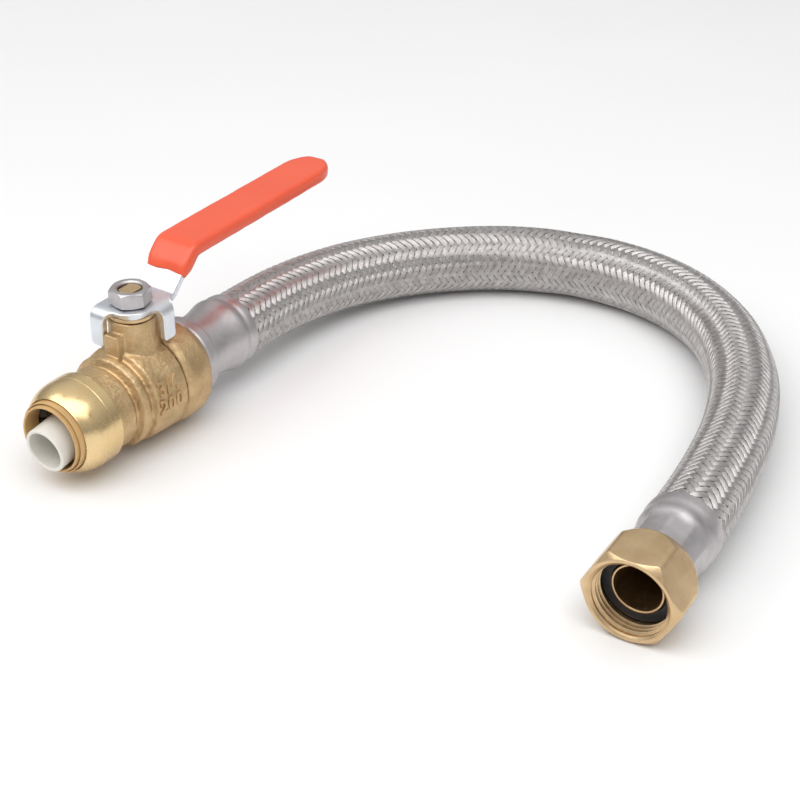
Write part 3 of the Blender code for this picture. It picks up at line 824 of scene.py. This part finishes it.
def make_tube_liner():
    front = MOUTH + 0.6
    corners = [
        (11.0, 8.7, 0.1),
        (11.0, 7.2, 0.2),
        (8.5, 7.2, 0.2),
        (8.5, front, 0.5),
        (7.15, front, 0.45),
        (7.1, 8.7, 0.1),
    ]
    tip = Matrix.Translation((0, 0, LINER_PIVOT - LINER_OUT)) @ Matrix.Rotation(LINER_DROOP, 4, "X")
    mesh = placed(turned(corners, 0.8), Matrix.Translation((0, 0, -LINER_PIVOT)))
    add("visual_tube_liner", placed(mesh, VALVE @ tip), "tube_liner", "white_plastic", "tube_liner")


# Ball valve


def body_barrel():
    corners = [
        (16.2, SPIGOT_END, 0.3),
        (16.2, BODY_END, 0.1),
        (18.7, BODY_END, 0.5),
        (18.9, 29.0, 1.5),
        (18.4, 20.5, 1.6),
        (18.2, 18.7, 0.6),
        (16.0, 17.6, 0.4),
        (15.9, 16.9, 0.4),
        (17.7, 15.2, 0.7),
        (17.4, 12.5, 0.7),
        (14.3, 11.4, 0.4),
        (14.2, 10.6, 0.3),
        (15.7, 9.4, 0.5),
        (15.2, 2.0, 0.3),
        (15.9, 1.4, 0.2),
        (15.9, -4.0, 0.3),
        (14.6, -4.0, 0.2),
        (14.6, 0.2, 0.1),
        (11.45, 0.2, 0.1),
        (11.45, 9.0, 0.1),
        (9.3, 9.0, 0.1),
        (9.3, 14.3, 0.1),
        (14.2, 14.3, 0.1),
        (14.2, SPIGOT_END, 0.1),
    ]
    return placed(turned(corners, 1.5), VALVE)


def body_boss():
    """The stem's boss, cut off where the end cap starts."""
    foot = 34.6
    corners = [
        (0, BOSS_TOP),
        (BOSS_R, BOSS_TOP, 0.6),
        (BOSS_R, 43.0, 2.0),
        (BOSS_R + 0.2, 38.0, 2.0),
        (BOSS_R + 1.3, foot, 0.5),
        (0, foot),
    ]
    behind = BODY_END - STEM_STATION
    past_body = block((-20, behind - 0.05, 30), (20, 20, 40.1))
    return cut(placed(turned(corners, 1.5), STEM), placed(past_body, STEM))


def stem_way():
    """The hole for the stem, its packing and the gland, which opens into the ball's room."""
    inner_top, outer_top, foot = 41.3, 51, AXIS_Z + 11.0
    corners = [
        (0, outer_top),
        (7.1, outer_top),
        (7.1, inner_top),
        (STEM_R + 0.3, inner_top),
        (STEM_R + 0.3, 37.2),
        (5.6, 37.2),
        (5.6, foot),
        (0, foot),
    ]
    return placed(turned(corners, 2.0), STEM)


def make_body():
    """One casting: barrel, boss and stop post run into each other, and its skin is uneven."""
    stop_post = block((-3.1, -12.3, AXIS_Z + 14.9), (3.1, -7.0, 45.2))
    body = joined(body_barrel(), body_boss())
    body = joined(body, placed(stop_post, STEM))
    body = cut(body, stem_way())
    body = with_modifiers(
        body,
        ("REMESH", {"mode": "VOXEL", "voxel_size": 0.4}),
        ("SMOOTH", {"factor": 0.5, "iterations": 4}),
    )
    body = roughened(body, height=0.13, size=1.3)
    body = roughened(body, height=0.22, size=9, seed=4)
    shade(body, 60)
    add("visual_valve_body", body, "valve", "cast_brass", "valve_body")


def flat_letters():
    """The size mark's raised letters, before they are wrapped round the barrel."""
    letters = bpy.data.curves.new("size_mark", "FONT")
    letters.body = "3/4\n200"
    letters.size = 7.3
    letters.space_character = 1.12
    letters.space_line = 0.92
    letters.offset = 0.10
    letters.extrude = 0.60
    letters.bevel_depth = 0.16
    letters.bevel_resolution = 2
    letters.resolution_u = 6
    letters.align_x = "CENTER"
    letters.align_y = "CENTER"
    source = bpy.data.objects.new("size_mark", letters)
    SCENE.collection.objects.link(source)
    mesh = evaluated(source)
    bpy.data.objects.remove(source, do_unlink=True)
    return mesh


def make_size_mark():
    """The cast 3/4 in size and pressure number, wrapped round the barrel."""
    around = math.radians(80)  # from the top, towards the swivel nut's side
    station = 24.9
    barrel = 18.6
    mesh = flat_letters()
    for vertex in mesh.vertices:
        x, y, z = vertex.co
        radius = barrel + 0.02 + (x / 5) * 0.16 + z * 0.8
        angle = around - y / barrel
        # In the valve's frame the top of the valve is local -Y
        vertex.co = (radius * math.sin(angle), -radius * math.cos(angle), station + x)
    shade(mesh, 40)
    mesh = roughened(mesh, height=0.05, size=0.9)
    add("size_mark", placed(mesh, VALVE), "valve", "cast_brass")


def make_end_cap():
    corners = [
        (15.5, CAP_END, 0.6),
        (19.2, 46.9, 0.8),
        (BARREL_R, 45.4, 1.0),
        (19.8, 36.9, 0.9),
        (19.2, 35.2, 0.7),
        (18.3, BODY_END + 0.3, 0.3),
        (16.5, BODY_END + 0.3, 0.1),
        (16.5, SPIGOT_END + 0.3, 0.1),
        (13.4, SPIGOT_END + 0.3, 0.1),
        (13.4, 41.5, 0.1),
        (9.3, 41.5, 0.1),
        (9.3, 45.6, 0.1),
        (10.6, 45.6, 0.1),
        (10.6, CAP_END, 0.2),
    ]
    outline = np.array(filled(softened(corners), 0.5))
    cap = placed(lathe(lambda turn: outline, np.linspace(0, TURN, 241)), VALVE)
    cap = roughened(cap, height=0.10, size=1.8, seed=2)
    cap = roughened(cap, height=0.25, size=9, seed=6)
    add("visual_end_cap", cap, "valve", "cast_brass", "end_cap")


def stem_section(turn):
    """The stem's end has two flats, and the round shank is below them."""
    shank_top, flange_top = 50.2, 36.0
    radius = min(STEM_TIP_R, STEM_FLAT / max(1e-6, abs(math.cos(turn))))
    corners = [
        (0, STEM_TOP - 0.05, 0),
        (radius - 0.7, STEM_TOP, 0),
        (radius, STEM_TOP, 0.35),
        (radius, shank_top, 0),
        (STEM_R, shank_top, 0.2),
        (STEM_R, flange_top, 0.1),
        (5.3, flange_top, 0.2),
        (5.3, STEM_FOOT, 0.2),
        (0, STEM_FOOT, 0),
    ]
    return np.array(softened(corners, 3, closed=False))


def make_stem():
    """The stem, with the tang on its foot that turns the ball."""
    corner = math.acos(STEM_FLAT / STEM_TIP_R)
    corners = [half * math.pi + side * corner for half in range(3) for side in (-1, 1)]
    turns = sorted({*ROUND, *(turn for turn in corners if 0 < turn < TURN)})
    tang = block((-4.4, -2.8, AXIS_Z + 11.6), (4.4, 2.8, AXIS_Z + 15.2))
    stem = joined(lathe(stem_section, turns, 30), tang)
    shade(stem, 30)
    add("visual_stem", placed(stem, STEM), "lever", "machined_brass", "stem")


def make_gland():
    corners = [
        (8.3, 50.8, 0.3),
        (8.3, BOSS_TOP + 0.3, 0.1),
        (6.8, BOSS_TOP + 0.3, 0.1),
        (6.8, 44.7, 0.1),
        (4.6, 44.7, 0.1),
        (4.6, 50.8, 0.1),
    ]
    add("visual_gland", placed(turned(corners, 0.8), STEM), "valve", "machined_brass", "gland")


# Lever


def bend_line(knots, angles, start, height, end):
    """How far and how high a bent sheet's middle is at each length along the blank, and its slope."""
    step = 0.02
    along = np.arange(0, end, step)
    slope = np.interp(along, knots, angles)
    return along, start + np.cumsum(np.cos(slope)) * step, height + np.cumsum(np.sin(slope)) * step, slope


def arm_bends():
    """The arm rises from the hub at the fold and nearly levels off again at the knee."""
    turn = LEG_ANGLE - ARM_RISE
    below = FOLD_R * math.tan(LEG_ANGLE / 2)
    above = KNEE_R * math.tan(turn / 2)
    leg = (KNEE_Z - PLATE_MIDDLE) / math.sin(LEG_ANGLE) - below - above
    knots = np.cumsum([FOLD_Y - below, FOLD_R * LEG_ANGLE, leg, KNEE_R * turn])
    return bend_line(knots, [0, LEG_ANGLE, LEG_ANGLE, ARM_RISE], 0.0, PLATE_MIDDLE, 140)


ARM = arm_bends()
EAR_TURN = (EAR_BEND - PLATE / 2) * math.pi / 2  # length of the blank's middle in an ear's bend


def blank_length(reach):
    return float(np.interp(reach, ARM[1], ARM[0]))


def bend_arm(points):
    """Moves flat points (x, along, above the middle) onto the arm's bends, with hub points left level."""
    along, reach, height, slope = ARM
    x, y, z = np.asarray(points, float).T
    where = np.clip(y, 0, None)
    tilt = np.interp(where, along, slope)
    moved_y = np.interp(where, along, reach) + np.minimum(y, 0) - z * np.sin(tilt)
    return np.stack([x, moved_y, np.interp(where, along, height) + z * np.cos(tilt)], -1)


def bend_ears(points):
    """Turns down what lies past the ears' bend lines, at the blank's right and front."""
    along, reach, drop, slope = bend_line([0, EAR_TURN], [0, -math.pi / 2], 0.0, 0.0, 40)
    points = np.asarray(points, float).copy()
    for axis, sign, near in ((0, 1, EAR_FADE_END), (1, -1, 0.0)):
        past = sign * points[:, axis] - EAR_ROOT
        chosen = (past > 0) & (points[:, 1] < near)
        # The bend fades out between the ear and the leg
        past *= np.clip((EAR_FADE_END - points[:, 1]) / EAR_FADE, 0, 1)
        above = points[chosen, 2] - PLATE_MIDDLE
        tilt = np.interp(past[chosen], along, slope)
        flat = sign * points[chosen, axis] - past[chosen]
        points[chosen, axis] = sign * (flat + np.interp(past[chosen], along, reach) - above * np.sin(tilt))
        points[chosen, 2] += np.interp(past[chosen], along, drop) + above * (np.cos(tilt) - 1)
    return points


def lever_outline():
    """The flat blank: hub, an ear to the right, an ear to the front, and the arm."""
    ear_end = EAR_ROOT + EAR_TURN + PLATE_TOP - EAR_BEND - EAR_BOTTOM
    half = ARM_W / 2
    tip = blank_length(GRIP_TIP_Y - 1.7)
    corners = [
        (half, tip, half),
        (half, SHOULDER, 2.6),
        (EAR_OUT - 2.0, EAR_FAR, EAR_CORNER),
        (ear_end, EAR_FAR, EAR_CORNER),
        (ear_end, EAR_NEAR, EAR_CORNER),
        (ARCH, EAR_NEAR, 5.6),
        (ARCH, -4.9, 3.9),
        (4.9, -ARCH, 3.9),
        (-EAR_NEAR, -ARCH, 5.6),
        (-EAR_NEAR, -ear_end, EAR_CORNER),
        (-EAR_FAR, -ear_end, EAR_CORNER),
        (-EAR_FAR - 0.1, 5.5, 4.5),
        (-half, SHOULDER, 2.6),
        (-half, tip, half),
    ]
    return filled(softened(corners, 7), 2.0)


def hub_hole(turn):
    """The hole's double-D shape, which fits the stem's flats."""
    radius = min(4.45, (STEM_FLAT + 0.3) / max(1e-6, abs(math.cos(turn))))
    return np.array([(0, PLATE), (radius, PLATE), (radius, -PLATE), (0, -PLATE)])


def lever_blank():
    """The flat plate with its edges rounded and its hole cut."""
    work = bmesh.new()
    face = work.faces.new([work.verts.new((x, y, -PLATE / 2)) for x, y in lever_outline()])
    raised = bmesh.ops.extrude_face_region(work, geom=[face])["geom"]
    tops = [part for part in raised if isinstance(part, bmesh.types.BMVert)]
    bmesh.ops.translate(work, vec=(0, 0, PLATE), verts=tops)
    bmesh.ops.recalc_face_normals(work, faces=work.faces)
    rims = [edge for edge in work.edges if abs(edge.verts[0].co.z - edge.verts[1].co.z) < 0.01]
    bmesh.ops.bevel(work, geom=rims, offset=0.4, segments=3, profile=0.5, affect="EDGES", clamp_overlap=True)
    mesh = bpy.data.meshes.new("lever")
    work.to_mesh(mesh)
    work.free()
    return cut(mesh, lathe(hub_hole))


def strip_places():
    """Where the blank is divided before it is bent: finely in its bends and widely elsewhere."""
    ear = [EAR_ROOT + EAR_TURN / 10 * k for k in range(11)] + [15, 17, 19, 21, 23]
    fold = ARM[0][np.argmax(ARM[3] > 0)]
    knee = ARM[0][len(ARM[3]) - np.argmax(ARM[3][::-1] > ARM_RISE + 1e-6) - 1]
    bends = [fold + 0.3 * k for k in range(8)] + [knee - 0.4 * k for k in range(11)]
    hub = [0, 4, 8, 9, 9.6, 10.2, 10.8, EAR_FADE_END, 20, 23, 26]
    across = [-8, -4, 0, 4, *ear]
    length = [*(-value for value in ear), -4, *hub, *bends, *range(40, 125, 6)]
    return [((1, 0, 0), value) for value in across] + [((0, 1, 0), value) for value in length]


def make_lever():
    work = bmesh.new()
    work.from_mesh(lever_blank())
    for normal, value in strip_places():
        everything = work.verts[:] + work.edges[:] + work.faces[:]
        spot = [value * part for part in normal]
        bmesh.ops.bisect_plane(work, geom=everything, plane_co=spot, plane_no=normal, dist=1e-4)
    bent = bend_ears(bend_arm(np.array([vertex.co for vertex in work.verts])))
    for vertex, place in zip(work.verts, bent):
        vertex.co = place
    bmesh.ops.triangulate(work, faces=[face for face in work.faces if len(face.verts) > 4])
    mesh = bpy.data.meshes.new("lever")
    work.to_mesh(mesh)
    work.free()
    shade(mesh, 30)
    plate = add("visual_lever", placed(mesh, STEM), "lever", "zinc", "lever")
    weighted = plate.modifiers.new("Weighted", "WEIGHTED_NORMAL")
    weighted.keep_sharp = True


def grip_ring(half_width, half_height):
    """A ring of 64 points: nearly flat above and below, with well rounded edges."""
    edge_w = min(2.2, half_width)
    edge_h = min(2.2, half_height)
    found = []
    for sx, sz in ((1, 1), (-1, 1), (-1, -1), (1, -1)):
        quarter = []
        for k in range(9):
            t = k / 8 * math.pi / 2
            x = half_width - edge_w + edge_w * math.cos(t)
            z = half_height - edge_h + edge_h * math.sin(t)
            quarter.append((sx * x, sz * z))
        for k in range(1, 8):
            quarter.append((sx * (half_width - edge_w) * (1 - k / 8), sz * half_height))
        found += quarter if sx * sz > 0 else quarter[::-1]
    return found


def grip_half_sizes(from_dip, from_tip):
    """Half the width and height of the grip: thin where the dip starts, and drawn in at the rounded tip."""
    thin = 0.30
    rim = 2.0
    plain_width, plain_height = ARM_W / 2 + 0.15, PLATE / 2 + 0.1
    grown = min(1.0, max(0.0, from_dip / 4.5))
    grown = thin + (1 - thin) * (1 - (1 - grown) ** 2)
    width = plain_width + (GRIP_W / 2 - plain_width) * grown
    height = plain_height + (GRIP_T / 2 - plain_height) * grown
    if from_tip < TIP_LENGTH:
        width *= max(0.0, 1 - (1 - from_tip / TIP_LENGTH) ** TIP_ROUND) ** (1 / TIP_ROUND)
    if from_tip < rim:
        height *= 0.30 + 0.70 * math.sqrt(max(0.0, 1 - (1 - from_tip / rim) ** 2))
    return max(width, 0.01), height


def make_grip():
    """Dipped vinyl, with a wavy edge where the dip starts on the leg."""
    start = float(np.interp(DIP_Z, ARM[2], ARM[0])) - 0.3
    end = blank_length(GRIP_TIP_Y)
    stations = [start, *np.arange(start + 0.25, start + 4, 0.4)]
    stations += np.arange(start + 4.4, end - TIP_LENGTH, 0.8).tolist()
    stations += [end - TIP_LENGTH * (1 - math.sin(k / 26 * math.pi / 2)) for k in range(27)]
    rings = []
    for along in stations:
        ring = grip_ring(*grip_half_sizes(along - start, end - along))
        rings.append([(x, along, z) for x, z in ring])
    rings = np.array(rings)
    wave = np.exp(-((rings[..., 1] - start) / 2.0) ** 2)
    rings[..., 1] += wave * (0.35 * np.sin(rings[..., 0] * 0.42 + 0.6) - 0.25 * (rings[..., 2] < 0))
    rings = closed_tube(rings)
    mesh = as_mesh(bend_arm(rings.reshape(-1, 3)), loop_faces(*rings.shape[:2]), 50)
    mesh = roughened(mesh, height=0.10, size=9, seed=8)
    add("visual_lever_grip", placed(mesh, STEM), "lever", "vinyl", "lever_grip")


def make_lever_nut():
    low = PLATE_TOP + 0.3
    hole = 4.45

    def section(turn):
        outside = hexagon_outside(turn, NUT_AF, NUT_H, round_off=0.35, front=0.3, rear=0.62)
        hole_line = [(5.2, 0, 0), (hole, 0.5, 0.2), (hole, NUT_H - 0.6, 0.2), (5.05, NUT_H, 0.1)]
        return np.array([(r, z + low) for r, z in outside + softened(hole_line, 3, closed=False)])

    mesh = placed(lathe(section, hexagon_angles(), 30), STEM @ Matrix.Rotation(NUT_TURN, 4, "Z"))
    add("visual_lever_nut", mesh, "lever", "stainless", "lever_nut")


# Setting


def dress_frame():
    """Inner pieces that keep their CAD shape get their material here."""
    slots = {
        "grab_ring": "stainless",
        "o_ring_protector": "tan_plastic",
        "o_ring": "rubber",
        "ball": "chrome",
        "seat_front": "ptfe",
        "seat_rear": "ptfe",
        "thrust_washer": "ptfe",
        "stem_packing": "ptfe",
        "inlet_nipple": "machined_brass",
    }
    # The grab ring gets a darkened copy of stainless: painted shade for its place deep in the mouth
    finishes = {"grab_ring": "shaded_stainless"}
    for name, slot in slots.items():
        obj = frame["nodes"][name]
        obj.data.materials.clear()
        obj.data.materials.append(MATERIALS[finishes.get(name, slot)])


def make_camera():
    """The photograph's view: from above the front right of the valve, a third of a metre up."""
    heading = Vector(CAMERA_HEADING).normalized()
    ahead = heading * math.cos(CAMERA_PITCH) - Vector((0, 0, math.sin(CAMERA_PITCH)))
    right = ahead.cross((0, 0, 1)).normalized()
    turn = Matrix((right, right.cross(ahead), -ahead)).transposed().to_4x4()
    data = bpy.data.cameras.new("camera")
    data.sensor_width = 36
    data.lens = CAMERA_LENS
    data.clip_start = 0.01
    camera = bpy.data.objects.new("camera", data)
    camera.matrix_world = Matrix.Translation(CAMERA_PLACE) @ turn
    SCENE.collection.objects.link(camera)
    SCENE.camera = camera


def make_floor():
    """A wide pale floor, very slightly uneven in tone, just below the lowest point of the end cap's skin."""
    pale = material(
        "floor", (0.90, 0.90, 0.90), (0.88, 0.88, 0.88),
        rough=(0.55, 0.65), patch=3, relief=[(300, 0.01)], metallic=0.0, Specular_IOR_Level=0.1,
    )
    side = 8.0
    mesh = bpy.data.meshes.new("floor")
    corners = [(-side, -side, 0), (side, -side, 0), (side, side, 0), (-side, side, 0)]
    mesh.from_pydata(corners, [], [(0, 1, 2, 3)])
    mesh.materials.append(pale)
    floor = bpy.data.objects.new("floor", mesh)
    floor.location.z = -0.2 * MM
    SCENE.collection.objects.link(floor)


def soft_box(name, place, aim, size, power):
    data = bpy.data.lights.new(name, "AREA")
    data.shape = "RECTANGLE"
    data.size, data.size_y = size
    data.energy = power
    light = bpy.data.objects.new(name, data)
    light.location = place
    light.rotation_mode = "QUATERNION"
    light.rotation_quaternion = (Vector(aim) - Vector(place)).to_track_quat("-Z", "Y")
    SCENE.collection.objects.link(light)


def sky_tone(tree, toward):
    """Grey that depends on the height looked at: darkest about level, and brightest at the top."""
    height = node(tree, "SeparateXYZ", (), {"Vector": toward}).outputs["Z"]
    ramp = tree.nodes.new("ShaderNodeValToRGB")
    ramp.color_ramp.interpolation = "EASE"
    stops = ramp.color_ramp.elements
    stops[0].position, stops[0].color = 0.40, (0.60, 0.60, 0.60, 1)
    stops[1].position, stops[1].color = 1.0, (1.15, 1.15, 1.15, 1)
    for position, tone in ((0.52, 0.42), (0.66, 0.62), (0.78, 0.88)):
        stop = stops.new(position)
        stop.color = (tone, tone, tone, 1)
    tree.links.new(spread(tree, height, 0, 1, -1, 1), ramp.inputs["Fac"])
    return ramp.outputs["Color"]


def make_surround():
    """A pale surround with one dark patch high on the right, which the polished brass mirrors."""
    world = bpy.data.worlds.new("studio")
    world.use_nodes = True
    tree = world.node_tree
    toward = node(tree, "TexCoord").outputs["Generated"]
    dot = tree.nodes.new("ShaderNodeVectorMath")
    dot.operation = "DOT_PRODUCT"
    dot.inputs[1].default_value = Vector((0.669, -0.095, 0.737)).normalized()
    tree.links.new(toward, dot.inputs[0])
    patch = spread(tree, dot.outputs["Value"], 0, 1, 0.955, 0.985)
    colour = mix(tree, patch, sky_tone(tree, toward), (0.10, 0.09, 0.08))
    background = tree.nodes["Background"]
    tree.links.new(colour, background.inputs["Color"])
    background.inputs["Strength"].default_value = 0.72
    SCENE.world = world


def make_studio():
    make_surround()
    soft_box("key", place=(0.45, -0.45, 1.25), aim=(0.10, 0.02, 0.0), size=(1.7, 1.1), power=12.5)
    soft_box("fill", place=(-0.72, -0.76, 1.10), aim=(0.05, 0.0, 0.0), size=(1.1, 0.8), power=4.6)
    SCENE.view_settings.view_transform = "Standard"


make_brasses()
make_steels()
make_plastics()
make_rubber_and_shade()
make_camera()
dress_frame()
make_valve_ferrule()
make_hose([make_nut_ferrule(), make_tailpiece(), make_gasket(), make_swivel_nut()])
make_collar()
make_release_ring()
make_tube_liner()
make_body()
make_size_mark()
make_end_cap()
make_stem()
make_gland()
make_lever()
make_grip()
make_lever_nut()
make_floor()
make_studio()
